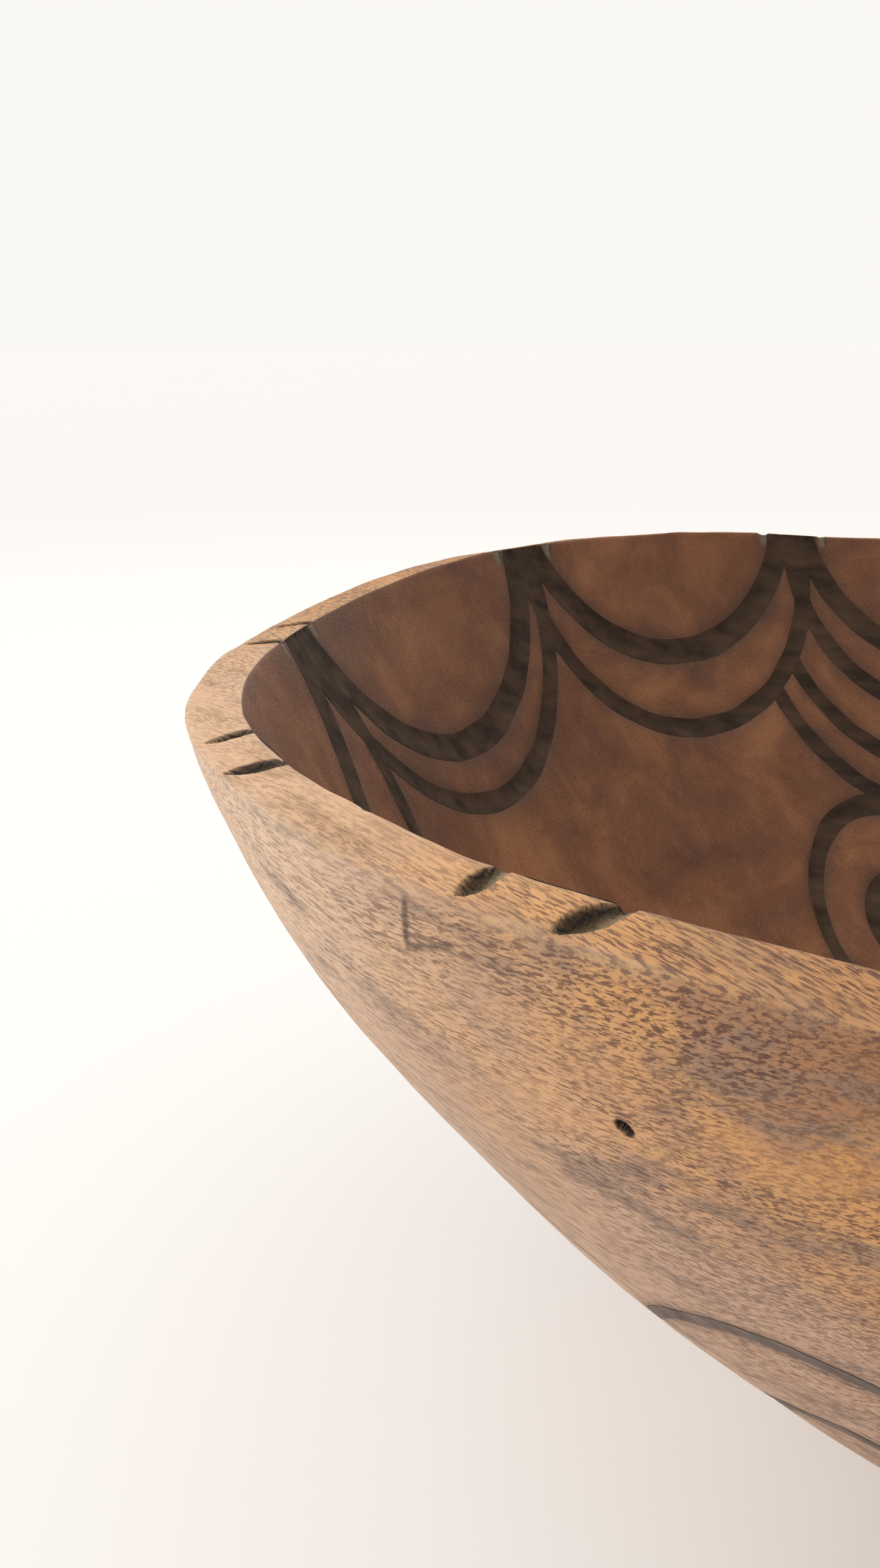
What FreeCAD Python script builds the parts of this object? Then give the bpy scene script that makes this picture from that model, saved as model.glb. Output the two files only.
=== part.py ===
import FreeCAD, Part
import math
import os
import Sketcher
from FreeCAD import Placement, Rotation, Vector

# A wide wooden bowl carved from one block, with dark lines cut into its inside and its outside.
# Lengths are millimetres, angles degrees. The origin is the middle of the foot's underside.

sizes = {
    # the outside
    "rimRadius": 151.5,       # outer edge of the rim
    "lipHeight": 118.0,       # inner edge of the rim above the table
    "rimWidth": 8.0,          # across the rim's flat face
    "rimDrop": 1.3,           # how far that face falls outwards
    "bandDepth": 29.0,        # the steeper band under the rim ends this far below the lip
    "bandInset": 13.0,        # and this far in from the rim's outer edge
    "bandBow": 100.0,         # arc radius of the band
    "wallBow": 333.0,         # arc radius of the long wall below it
    "footRadius": 56.0,
    "footRound": 3.0,         # rounding between the foot and the wall
    # the hollow
    "hollowBow": 284.0,       # arc radius of its wall
    "cornerOut": 18.0,        # the wall turns into the floor this far outside the foot's radius
    "cornerRise": 17.2,       # and this far above the floor
    "cornerBow": 80.0,
    "dishRadius": 32.8,       # the middle of the floor, almost flat
    "dishRise": 1.4,
    "dishBow": 385.0,
    "floorThick": 12.8,
    # cuts across the rim, in pairs
    "notchLength": 7.2,       # half of each cut's length, breadth and depth
    "notchBreadth": 1.75,
    "notchDepth": 2.1,
    "notchInset": 5.4,        # middle of each cut in from the rim's outer edge
    "notchGap": 5.4,          # angle between the two cuts of a pair
    # dark lines of the inside
    "lineDepth": 0.8,         # of every dark line
    "festoonBroad": 4.4,      # breadth of the upper line of each festoon
    "festoonFine": 3.2,       # breadth of the line under it
    "festoonInset": 1.2,      # angle by which the upper line stays inside its span
    "festoonReach": 0.4,      # angle by which the line under it passes the span
    "lowerBroad": 2.8,        # breadth of both lines of a lower festoon
    "lowerUpperBow": 44.5,
    "lowerUpperDrop": 49.0,
    "lowerUnderBow": 49.5,
    "lowerUnderDrop": 57.0,
    "ringRadius": 18.6,       # each ring below a lower festoon, with a smaller ring in it
    "eyeRadius": 7.0,
    "ringBroad": 3.0,
    "ringOut": 89.8,          # distance of a ring's middle from the bowl's axis
    "ringApart": 13.7,        # angle from the lower festoon's middle to a ring's
    # dark lines of the outside
    "archBroad": 1.8,
    "archFoot": 30.0,         # height at which the arches start
    "archOuterBow": 33.6,
    "archOuterTop": 70.0,
    "archInnerBow": 22.0,
    "archInnerTop": 52.0,
    "archFirst": 228.0,       # direction of the first arch
    # the exit hole of a woodworm
    "wormRadius": 0.9,
    "wormDepth": 6.0,
    "wormOut": 142.6,         # distance of its mouth from the bowl's axis
    "wormHeight": 98.3,
    "wormAngle": 224.5,
    # working values
    "sink": 2.0,              # how far the cutting bodies pass the wood
}

# Directions in which the pairs of cuts were laid out by eye. A festoon hangs between each two.
marks = [15.0, 46.0, 75.0, 105.5, 134.5, 167.0, 198.4, 222.0, 254.0, 285.0, 315.0, 345.0]
upperDrops = [24, 27, 27, 22, 28, 30, 26, 22, 27, 24, 26, 25]      # depth of each upper line
underDrops = [37, 38, 38, 36, 37.5, 48, 37, 34, 38, 36, 37, 38]    # depth of the line under it
lowerFirst = 2            # the lower festoons hang under this festoon and every fourth one from it
lowerEvery = 4
archCount = 8

doc = FreeCAD.newDocument("CarvedBowl")
sheet = doc.addObject("Spreadsheet::Sheet", "Sizes")
for row, (alias, value) in enumerate(sizes.items(), 1):
    sheet.set("A%d" % row, alias)
    sheet.set("B%d" % row, str(value))
    sheet.setAlias("B%d" % row, alias)
doc.recompute()


def measure(text):
    """Number and sheet expression of names joined by + and -, such as "rimRadius - rimWidth"."""
    total, sign, words = 0.0, 1, []
    for word in text.split():
        if word in ("+", "-"):
            sign = 1 if word == "+" else -1
            words.append(word)
        else:
            total += sign * sizes[word]
            words.append("Sizes." + word)
    return total, " ".join(words)


def arcBetween(start, end, radius):
    """Arc of the given radius that bows to the right of the way from start to end."""
    half = (end - start).Length / 2
    along = (end - start).normalize()
    outward = Vector(along.y, -along.x, 0)
    rise = radius - math.sqrt(radius * radius - half * half)
    return Part.Arc(start, (start + end) * 0.5 + outward * rise, end)


def nearEnd(sketch, edge, spot):
    """Which end of the edge, 1 or 2, lies at the spot."""
    gaps = [(sketch.getPoint(edge, end) - spot).Length for end in (1, 2)]
    return 1 if gaps[0] < gaps[1] else 2


def tiePoint(sketch, edge, spot, out, up):
    """Hold the edge's end at the spot by its distance from the axis and its height."""
    end = nearEnd(sketch, edge, spot)
    for kind, text, axis in (("DistanceX", out, -2), ("DistanceY", up, -1)):
        if text is None:
            sketch.addConstraint(Sketcher.Constraint("PointOnObject", edge, end, axis))
        else:
            value, tie = measure(text)
            row = sketch.addConstraint(Sketcher.Constraint(kind, -1, 1, edge, end, value))
            sketch.setExpression("Constraints[%d]" % row, tie)


def drawOutline(sketch, stations):
    """A closed outline through stations: (distance from the axis, height, (arc radius, side) after it)."""
    spots = [Vector(*[measure(text)[0] if text else 0.0 for text in place[:2]], 0) for place in stations]
    for edge, (_, _, (bow, side)) in enumerate(stations):
        ends = [spots[edge], spots[(edge + 1) % len(spots)]]
        if bow is None:
            sketch.addGeometry(Part.LineSegment(*ends), False)
            continue
        sketch.addGeometry(arcBetween(*ends[::side], sizes[bow]), False)
        row = sketch.addConstraint(Sketcher.Constraint("Radius", edge, sizes[bow]))
        sketch.setExpression("Constraints[%d]" % row, "Sizes." + bow)
    for edge, (out, up, _) in enumerate(stations):
        before = (edge - 1) % len(spots)
        tiePoint(sketch, edge, spots[edge], out, up)
        sketch.addConstraint(Sketcher.Constraint("Coincident", before, nearEnd(sketch, before, spots[edge]),
                                                 edge, nearEnd(sketch, edge, spots[edge])))


straight = (None, 0)
blockStations = [
    (None, None, straight),
    ("footRadius - footRound", None, ("footRound", 1)),
    ("footRadius", "footRound", ("wallBow", 1)),
    ("rimRadius - bandInset", "lipHeight - bandDepth", ("bandBow", 1)),
    ("rimRadius", "lipHeight - rimDrop", straight),
    ("rimRadius - rimWidth", "lipHeight", ("hollowBow", -1)),
    ("footRadius + cornerOut", "floorThick + cornerRise", ("cornerBow", -1)),
    ("dishRadius", "floorThick + dishRise", ("dishBow", -1)),
    (None, "floorThick", straight),
]
coreStations = [
    (None, None, straight),
    ("footRadius - lineDepth", None, straight),
    ("footRadius - lineDepth", "footRound", ("wallBow", 1)),
    ("rimRadius - bandInset - lineDepth", "lipHeight - bandDepth", ("bandBow", 1)),
    ("rimRadius - lineDepth", "lipHeight - rimDrop", straight),
    (None, "lipHeight + sink", straight),
]
plugStations = [
    (None, "lipHeight + sink", straight),
    ("rimRadius - rimWidth + lineDepth", "lipHeight + sink", straight),
    ("rimRadius - rimWidth + lineDepth", "lipHeight", ("hollowBow", -1)),
    ("footRadius + cornerOut", "floorThick + cornerRise - lineDepth", ("cornerBow", -1)),
    ("dishRadius", "floorThick + dishRise - lineDepth", ("dishBow", -1)),
    (None, "floorThick - lineDepth", straight),
]


def originPlane(body, role):
    for feature in body.Origin.OriginFeatures:
        if feature.Role == role:
            return feature


def makeTurned(name, stations):
    """A body turned about the upright axis from one closed outline."""
    body = doc.addObject("PartDesign::Body", name)
    sketch = body.newObject("Sketcher::SketchObject", name + "Outline")
    sketch.AttachmentSupport = [(originPlane(body, "XZ_Plane"), "")]
    sketch.MapMode = "FlatFace"
    drawOutline(sketch, stations)
    doc.recompute()
    turned = body.newObject("PartDesign::Revolution", name + "Turned")
    turned.Profile = sketch
    turned.ReferenceAxis = (sketch, ["V_Axis"])
    turned.Angle = 360.0
    doc.recompute()
    return body


def addPart(kind, name, fixed, ties):
    """A document object with fixed properties, and others tied to the sheet by expressions."""
    item = doc.addObject(kind, name)
    if hasattr(item, "Refine"):
        item.Refine = False
    for key, value in fixed.items():
        setattr(item, key, value)
    for path, tie in ties.items():
        item.setExpression(path, tie)
    return item


def facing(angle):
    """Turns an upright body so that it points level, away from the bowl's axis."""
    return Rotation(Vector(0, 0, 1), Vector(math.cos(math.radians(angle)), math.sin(math.radians(angle)), 0))


def makeTube(name, bow, breadth, height, angle):
    """A level tube that points outwards at an angle: where it meets a wall it marks a round line."""
    both = []
    for label, sign in (("Rim", "+"), ("Bore", "-")):
        fixed = {"Placement": Placement(Vector(), facing(angle))}
        both.append(addPart("Part::Cylinder", name + label, fixed, {
            "Radius": "%s %s Sizes.%s / 2" % (bow, sign, breadth),
            "Height": "Sizes.rimRadius - Sizes.footRadius + Sizes.sink",
            "Placement.Base.x": "Sizes.footRadius * cos(%g)" % angle,
            "Placement.Base.y": "Sizes.footRadius * sin(%g)" % angle,
            "Placement.Base.z": height}))
    return addPart("Part::Cut", name, {"Base": both[0], "Tool": both[1]}, {}), both[0]


def makeRing(name, radius, angle):
    """An upright tube over the floor of the bowl: where it meets the floor it marks a ring."""
    both = []
    for label, sign in (("Rim", "+"), ("Bore", "-")):
        both.append(addPart("Part::Cylinder", name + label, {}, {
            "Radius": "Sizes.%s %s Sizes.ringBroad / 2" % (radius, sign),
            "Height": "Sizes.lipHeight",
            "Placement.Base.x": "Sizes.ringOut * cos(%s)" % angle,
            "Placement.Base.y": "Sizes.ringOut * sin(%s)" % angle}))
    return addPart("Part::Cut", name, {"Base": both[0], "Tool": both[1]}, {})


def makeLines(name, layer, tubes):
    """The dark lines that the tubes mark on a layer of the wood, as one group of solids."""
    lines = [addPart("Part::Common", "%s%d" % (name, index), {"Base": layer, "Tool": tube}, {})
             for index, tube in enumerate(tubes)]
    return addPart("Part::MultiFuse", name + "Group", {"Shapes": lines}, {})


def makeNotches():
    """Leaf-shaped gouge cuts across the rim, two at each mark."""
    middle = "(Sizes.rimRadius - Sizes.notchInset)"
    notches = []
    for index, mark in enumerate(marks):
        for side in (-1, 1):
            turn = "(%g + %d * Sizes.notchGap / 2)" % (mark, side)
            notches.append(addPart("Part::Ellipsoid", "Notch%d_%d" % (index, len(notches) % 2), {}, {
                "Radius1": "Sizes.notchDepth",
                "Radius2": "Sizes.notchLength",
                "Radius3": "Sizes.notchBreadth",
                "Placement.Base.x": "%s * cos(%s)" % (middle, turn),
                "Placement.Base.y": "%s * sin(%s)" % (middle, turn),
                "Placement.Base.z": "Sizes.lipHeight - Sizes.rimDrop / 2",
                "Placement.Rotation.Angle": turn}))
    return notches


def makeWormHole():
    """A thin level hole in the wall. It starts outside the rim's edge and stops in the wood."""
    fixed = {"Placement": Placement(Vector(), facing(sizes["wormAngle"]))}
    return addPart("Part::Cylinder", "WormHole", fixed, {
        "Radius": "Sizes.wormRadius",
        "Height": "Sizes.wormDepth + Sizes.rimRadius",
        "Placement.Base.x": "(Sizes.wormOut - Sizes.wormDepth) * cos(Sizes.wormAngle)",
        "Placement.Base.y": "(Sizes.wormOut - Sizes.wormDepth) * sin(Sizes.wormAngle)",
        "Placement.Base.z": "Sizes.wormHeight"})


def festoonTubes():
    """Two round lines hang between neighbouring marks: the upper one broad, the one under it fine."""
    upper, under, regions = [], [], []
    for index, mark in enumerate(marks):
        span = (marks[(index + 1) % len(marks)] - mark) % 360
        middle = mark + span / 2
        for label, drop, turn, breadth in (
                ("Upper", upperDrops[index], "- Sizes.festoonInset", "festoonBroad"),
                ("Under", underDrops[index], "+ Sizes.festoonReach", "festoonFine")):
            half = "(Sizes.rimRadius - Sizes.rimWidth) * sin(%g %s)" % (span / 2, turn)
            bow = "((%s)^2 + %g^2) / (2 * %g)" % (half, drop, drop)
            height = "Sizes.lipHeight - %g + %s" % (drop, bow)
            tube, region = makeTube("%sTube%d" % (label, index), bow, breadth, height, middle)
            if label == "Upper":
                upper.append(tube)
            else:
                under.append(tube)
                regions.append(region)
    return upper, under, regions


def lowerTubes():
    """Under one festoon in four, two wider round lines, and below their ends the rings."""
    lines, rings = [], []
    for index in range(lowerFirst, len(marks), lowerEvery):
        middle = marks[index] + (marks[(index + 1) % len(marks)] - marks[index]) % 360 / 2
        for label in ("lowerUpper", "lowerUnder"):
            bow = "Sizes.%sBow" % label
            height = "Sizes.lipHeight - Sizes.%sDrop + %s" % (label, bow)
            lines.append(makeTube("%s%d" % (label, index), bow, "lowerBroad", height, middle)[0])
        for side in (-1, 1):
            turn = "(%g + %d * Sizes.ringApart)" % (middle, side)
            for radius in ("ringRadius", "eyeRadius"):
                rings.append(makeRing("%s%d_%d" % (radius, index, side > 0), radius, turn))
    return lines, rings


def archTubes():
    """Round arches side by side on the outside, a large one over a small one, as whole tubes."""
    outer, inner = [], []
    for index in range(archCount):
        angle = sizes["archFirst"] + index * 360 / archCount
        for label, group in (("archOuter", outer), ("archInner", inner)):
            bow = "Sizes.%sBow" % label
            height = "Sizes.%sTop - %s" % (label, bow)
            group.append(makeTube("%s%d" % (label, index), bow, "archBroad", height, angle)[0])
    return outer, inner


def makeArchLayer(outside):
    """The part of the outside skin above the height at which the arches start."""
    zone = addPart("Part::Cylinder", "ArchZone", {}, {
        "Radius": "Sizes.rimRadius + Sizes.sink",
        "Height": "Sizes.lipHeight - Sizes.archFoot",
        "Placement.Base.z": "Sizes.archFoot"})
    return addPart("Part::Common", "ArchLayer", {"Base": outside, "Tool": zone}, {})


def cutAway(name, label, base, tools):
    """What is left of the base outside the tools, which don't overlap each other."""
    group = addPart("Part::Compound", name + "Tools", {"Links": tools}, {})
    rest = addPart("Part::Cut", name, {"Base": base, "Tool": group}, {})
    rest.Label = label
    return rest


block = makeTurned("Block", blockStations)
inside = addPart("Part::Common", "InsideLayer", {"Base": block, "Tool": makeTurned("Plug", plugStations)}, {})
outside = addPart("Part::Cut", "OutsideLayer", {"Base": block, "Tool": makeTurned("Core", coreStations)}, {})
archLayer = makeArchLayer(outside)

notches = addPart("Part::MultiFuse", "Notches", {"Shapes": makeNotches()}, {})
upper, under, regions = festoonTubes()
lower, rings = lowerTubes()
archOuter, archInner = archTubes()

upperLines = cutAway("UpperLines", "festoon_upper_lines", makeLines("Upper", inside, upper), [notches])
underLines = cutAway("UnderLines", "festoon_under_lines", makeLines("Under", inside, under),
                     [notches, upperLines])
above = addPart("Part::MultiFuse", "AboveUnderLines", {"Shapes": regions}, {})
lowerLines = cutAway("LowerLines", "lower_festoon_lines", makeLines("Lower", inside, lower), [above])
ringLines = cutAway("RingLines", "floor_ring_lines", makeLines("Ring", inside, rings), [lowerLines])
archOuterLines = makeLines("ArchOuter", archLayer, archOuter)
archOuterLines.Label = "outer_arch_lines"
archInnerLines = makeLines("ArchInner", archLayer, archInner)
archInnerLines.Label = "inner_arch_lines"
lines = [upperLines, underLines, lowerLines, ringLines, archOuterLines, archInnerLines]
bowl = cutAway("Bowl", "bowl_body", block, [notches, makeWormHole()] + lines)
doc.recompute()

for item in doc.Objects:
    if "Invalid" in item.State or "Error" in item.State:
        raise RuntimeError("%s failed: %s" % (item.Name, item.State))
os.makedirs("parts", exist_ok=True)
for piece in [bowl] + lines:
    if piece.Shape.isNull() or not piece.Shape.isValid():
        raise RuntimeError("%s has no valid shape" % piece.Label)
    piece.Shape.exportStep("parts/%s.step" % piece.Label)
    print("%-22s %3d solids %11.1f mm3" % (piece.Label, len(piece.Shape.Solids), piece.Shape.Volume))
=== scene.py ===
import bpy
import math
import numpy as np
from mathutils import Matrix, Vector


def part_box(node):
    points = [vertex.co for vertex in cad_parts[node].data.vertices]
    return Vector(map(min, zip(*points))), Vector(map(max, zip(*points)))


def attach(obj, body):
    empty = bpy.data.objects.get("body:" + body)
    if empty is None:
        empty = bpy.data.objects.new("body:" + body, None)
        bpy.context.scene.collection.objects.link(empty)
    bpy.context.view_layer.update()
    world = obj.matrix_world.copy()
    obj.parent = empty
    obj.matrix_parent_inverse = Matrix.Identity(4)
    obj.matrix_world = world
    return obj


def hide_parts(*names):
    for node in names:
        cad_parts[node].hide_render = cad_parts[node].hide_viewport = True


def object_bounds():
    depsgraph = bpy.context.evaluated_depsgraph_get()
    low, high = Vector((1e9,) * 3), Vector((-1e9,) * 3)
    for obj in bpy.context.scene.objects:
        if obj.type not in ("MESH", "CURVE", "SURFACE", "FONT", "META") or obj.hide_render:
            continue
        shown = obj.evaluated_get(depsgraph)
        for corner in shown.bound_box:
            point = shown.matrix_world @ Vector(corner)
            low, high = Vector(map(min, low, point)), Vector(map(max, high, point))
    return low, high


# A wide bowl carved from one block of pale wood, stained brown inside, with burnt lines.
# Surfaces are worked out in millimetres about the bowl's axis and put in as metres.

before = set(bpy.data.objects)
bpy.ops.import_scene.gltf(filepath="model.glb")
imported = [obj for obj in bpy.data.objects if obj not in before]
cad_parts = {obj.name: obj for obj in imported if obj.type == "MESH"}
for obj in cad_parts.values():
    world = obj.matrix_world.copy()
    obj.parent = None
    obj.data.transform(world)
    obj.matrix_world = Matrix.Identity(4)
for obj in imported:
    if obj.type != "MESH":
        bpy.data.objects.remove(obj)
cadLow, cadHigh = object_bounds()
print("frame loaded")

woodLow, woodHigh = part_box("bowl_body")
rimRadius = (woodHigh.x - woodLow.x) * 500
lipHeight = woodHigh.z * 1000
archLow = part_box("outer_arch_lines")[0].z * 1000


def linear(code):
    # one sRGB hex colour as linear light with full alpha
    parts = [int(code[i:i + 2], 16) / 255 for i in (1, 3, 5)]
    return [*(p / 12.92 if p <= 0.04045 else ((p + 0.055) / 1.055) ** 2.4 for p in parts), 1.0]


def smooth(low, high, value):
    t = np.clip((value - low) / (high - low), 0, 1)
    return t * t * (3 - 2 * t)


def waves(points, seed, shortest, longest, count=24):
    # sum of count plane waves with random directions, lengths and phases, about -1 to 1
    chance = np.random.default_rng(seed)
    ways = chance.normal(size=(count, 3))
    ways *= 2 * np.pi / (np.linalg.norm(ways, axis=1) * chance.uniform(shortest, longest, count))[:, None]
    total = np.zeros(points.shape[:-1])
    for way, phase in zip(ways, chance.uniform(0, 2 * np.pi, count)):
        total += np.sin(points @ way + phase)
    return total / math.sqrt(count) / 1.4


# the turned shape under the carving, in millimetres
body = {
    "rimWidth": 8.0, "rimDrop": 1.3,
    "bandDepth": 29.0, "bandInset": 13.0, "bandBow": 100.0, "wallBow": 333.0,
    "footRadius": 56.0, "footRound": 3.0,
    "hollowBow": 284.0, "cornerOut": 18.0, "cornerRise": 17.2, "cornerBow": 80.0,
    "dishRadius": 32.8, "dishRise": 1.4, "dishBow": 385.0, "floorThick": 12.8,
    "softEdge": 0.6,          # how far the arrises are worn round
    "softBand": 4.0,          # how far the edge between band and wall is
    "ringDepth": 14.0,        # the rim's own mesh reaches this far down both sides
    "hidden": 2.8,            # hidden faces lie this far inside the wood
    "full": -0.3,             # the outer wall stands this far outside its turned arc: less than 0 is inside
    "sag": 2.4,               # the rim's mean height is this far below its highest place
}
lipRadius = rimRadius - body["rimWidth"]


def arcPath(start, end, bow, side):
    # points 0.1 mm apart on a round arc that bulges right of the way for side 1, left for -1
    start, end = np.array(start, float), np.array(end, float)
    chord = end - start
    half = np.linalg.norm(chord) / 2
    outward = np.array([chord[1], -chord[0]]) / (2 * half) * side
    centre = (start + end) / 2 - outward * math.sqrt(bow * bow - half * half)
    a, b = start - centre, end - centre
    turn = math.atan2(a[0] * b[1] - a[1] * b[0], a @ b)
    t = turn * np.linspace(0, 1, max(3, int(abs(turn) * bow / 0.1)))
    return centre + np.stack([a[0] * np.cos(t) - a[1] * np.sin(t), a[0] * np.sin(t) + a[1] * np.cos(t)], -1)


def makeProfile():
    # the outline from the foot's middle out and up, over the rim and down to the floor's middle
    foot, band = body["footRadius"], (rimRadius - body["bandInset"], lipHeight - body["bandDepth"])
    edge, lip = (rimRadius, lipHeight - body["rimDrop"]), (lipRadius, lipHeight)
    corner = (foot + body["cornerOut"], body["floorThick"] + body["cornerRise"])
    dish = (body["dishRadius"], body["floorThick"] + body["dishRise"])
    parts = [
        np.linspace((0, 0), (foot - body["footRound"], 0), 520),
        arcPath((foot - body["footRound"], 0), (foot, body["footRound"]), body["footRound"], 1),
        arcPath((foot, body["footRound"]), band, body["wallBow"], 1),
        arcPath(band, edge, body["bandBow"], 1),
        np.linspace(edge, lip, 66),
        arcPath(lip, corner, body["hollowBow"], -1),
        arcPath(corner, dish, body["cornerBow"], -1),
        arcPath(dish, (0, body["floorThick"]), body["dishBow"], -1),
    ]
    raw = np.concatenate(parts)
    run = np.concatenate([[0], np.cumsum(np.linalg.norm(np.diff(raw, axis=0), axis=1))])
    keep = np.concatenate([[True], np.diff(run) > 1e-6])
    raw, run = raw[keep], run[keep]
    station = np.arange(0, run[-1], 0.1)
    path = np.stack([np.interp(station, run, raw[:, k]) for k in (0, 1)], -1)

    def soften(spread):
        pad = int(spread * 40)
        kernel = np.exp(-0.5 * (np.arange(-pad, pad + 1) * 0.1 / spread) ** 2)
        kernel /= kernel.sum()
        flip = np.array([-1, 1])
        wide = np.concatenate([path[1:pad + 1][::-1] * flip, path, path[-pad - 1:-1][::-1] * flip])
        return np.stack([np.convolve(wide[:, k], kernel, "valid") for k in (0, 1)], -1)

    atBand = station[np.argmin(np.linalg.norm(path - band, axis=1))]
    near = np.exp(-((station - atBand) / 9) ** 4)[:, None]
    soft = soften(body["softEdge"]) * (1 - near) + soften(body["softBand"]) * near
    atEdge = station[np.argmin(np.linalg.norm(path - edge, axis=1))]
    atLip = station[np.argmin(np.linalg.norm(path - lip, axis=1))]
    return station, soft, atEdge, atLip


station, profile, atEdge, atLip = makeProfile()
slope = np.gradient(profile, station, axis=0)
slope /= np.linalg.norm(slope, axis=1)[:, None]
endStation = station[-1]
inside = station > atLip
outsideWall = (station < atEdge) & (profile[:, 1] > 1)


def innerStation(height):
    return np.interp(-height, -profile[inside][:, 1], station[inside])


def floorStation(radius):
    return np.interp(-radius, -profile[inside][:, 0], station[inside])


def outerStation(height):
    return np.interp(height, profile[outsideWall][:, 1], station[outsideWall])


print("profile made")

# the lines: each is a circle seen along the level direction at its middle
festoons = {
    "marks": [15.0, 46.0, 75.0, 105.5, 134.5, 167.0, 198.4, 222.0, 254.0, 285.0, 315.0, 345.0],
    "upperDrops": [24, 27, 27, 22, 28, 30, 26, 22, 27, 24, 26, 25],
    "underDrops": [37, 38, 38, 36, 37.5, 48, 37, 34, 38, 36, 37, 38],
    "broad": 4.4, "fine": 3.2, "inset": 1.2, "reach": 0.4,
}
lowerLines = {"first": 2, "every": 4, "breadth": 2.8, "bows": (44.5, 49.5), "drops": (49.0, 57.0)}
floorRings = {"radii": (18.6, 7.0), "breadth": 3.0, "out": 89.8, "apart": 13.7}
arches = {"breadth": 1.8, "first": 228.0, "count": 8, "bows": (33.6, 22.0), "tops": (70.0, 52.0)}


def layOut():
    # every line as middle angle, centre height, radius, half breadth, 1 for a hanging line or -1 for an arch
    marks = festoons["marks"]
    groups = {"upper": [], "under": [], "lower": [], "archOuter": [], "archInner": []}
    rings = []
    for i, mark in enumerate(marks):
        span = (marks[(i + 1) % len(marks)] - mark) % 360
        middle = mark + span / 2
        for key, drop, turn, breadth in (
                ("upper", festoons["upperDrops"][i], -festoons["inset"], festoons["broad"]),
                ("under", festoons["underDrops"][i], festoons["reach"], festoons["fine"])):
            half = lipRadius * math.sin(math.radians(span / 2 + turn))
            bow = (half * half + drop * drop) / (2 * drop)
            groups[key].append((middle, lipHeight - drop + bow, bow, breadth / 2, 1))
        if i % lowerLines["every"] == lowerLines["first"]:
            for bow, drop in zip(lowerLines["bows"], lowerLines["drops"]):
                groups["lower"].append((middle, lipHeight - drop + bow, bow, lowerLines["breadth"] / 2, 1))
            for side in (-1, 1):
                turn = math.radians(middle + side * floorRings["apart"])
                for radius in floorRings["radii"]:
                    rings.append((floorRings["out"] * math.cos(turn), floorRings["out"] * math.sin(turn),
                                  radius, floorRings["breadth"] / 2))
    for k in range(arches["count"]):
        for key, bow, top in zip(("archOuter", "archInner"), arches["bows"], arches["tops"]):
            groups[key].append((arches["first"] + k * 360 / arches["count"], top - bow, bow,
                                arches["breadth"] / 2, -1))
    return groups, rings


lineGroups, rings = layOut()


def apart(azimuth, middle):
    # angle from the middle, from -180 to 180 degrees
    return (azimuth - middle + 180) % 360 - 180


def nearLine(azimuth, radius, height, lines, spread):
    # 1 on a line's middle, falling like a bell whose width is spread times the half breadth
    best = np.zeros(azimuth.shape)
    for middle, centre, bow, half, _ in lines:
        turn = apart(azimuth, middle)
        close = np.abs(turn) < 50
        across = radius[close] * np.sin(np.radians(turn[close]))
        gap = np.abs(np.hypot(across, height[close] - centre) - bow) / (half * spread)
        best[close] = np.maximum(best[close], np.exp(-gap ** 2))
    return best


def underEdge(azimuth, radius, height):
    # distance below the lines under the festoons, less than nothing above them
    gap = np.full(azimuth.shape, 99.0)
    for middle, centre, bow, half, _ in lineGroups["under"]:
        turn = apart(azimuth, middle)
        close = np.abs(turn) < 50
        across = radius[close] * np.sin(np.radians(turn[close]))
        gap[close] = np.minimum(gap[close], np.hypot(across, height[close] - centre) - bow - half)
    return gap


def nearRing(azimuth, radius, spread):
    best = np.zeros(azimuth.shape)
    x, y = radius * np.cos(np.radians(azimuth)), radius * np.sin(np.radians(azimuth))
    for cx, cy, ring, half in rings:
        gap = np.abs(np.hypot(x - cx, y - cy) - ring) / (half * spread)
        best = np.maximum(best, np.exp(-np.minimum(gap, 9) ** 2))
    return best


def lineMarks(azimuth, radius, height, where, spread):
    # how near a point is to the dark lines of its side of the bowl
    if where == "inside":
        upper = nearLine(azimuth, radius, height, lineGroups["upper"] + lineGroups["under"], spread)
        lower = nearLine(azimuth, radius, height, lineGroups["lower"], spread)
        lower *= smooth(-0.6, 0.6, underEdge(azimuth, radius, height))
        return np.maximum(np.maximum(upper, lower), nearRing(azimuth, radius, spread))
    arch = nearLine(azimuth, radius, height, lineGroups["archOuter"] + lineGroups["archInner"], spread)
    return arch * smooth(archLow - 0.8, archLow + 0.8, height)


# gouge cuts across the rim: a steep side and a floor that rises to nothing, both darkened in the wood
# material with painted shade
cuts = {
    "gap": 5.4, "depth": 2.1,
    # leaf shapes: places across the rim, 0 at the lip and 1 at the outer edge, and the cut's two sides in mm
    "steepAt": {"A": (-0.3, 0.05, 0.21, 0.38, 0.56, 0.77), "B": (-0.3, 0.04, 0.14, 0.32, 0.51, 0.68, 0.83)},
    "steep": {"A": (-2.2, -2.4, -2.93, -2.75, -2.1, -0.7),
              "B": (-1.0, -1.03, -2.1, -2.89, -3.07, -2.75, -2.1)},
    "gentleAt": {"A": (-0.3, 0.05, 0.3, 0.54, 0.7, 0.77), "B": (-0.3, 0.0, 0.26, 0.52, 0.69, 0.81, 0.83)},
    "gentle": {"A": (-0.1, -0.1, 0.25, 0.62, 0.29, -0.6), "B": (1.4, 1.31, 1.14, 0.97, 0.19, -0.94, -2.0)},
}


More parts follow.
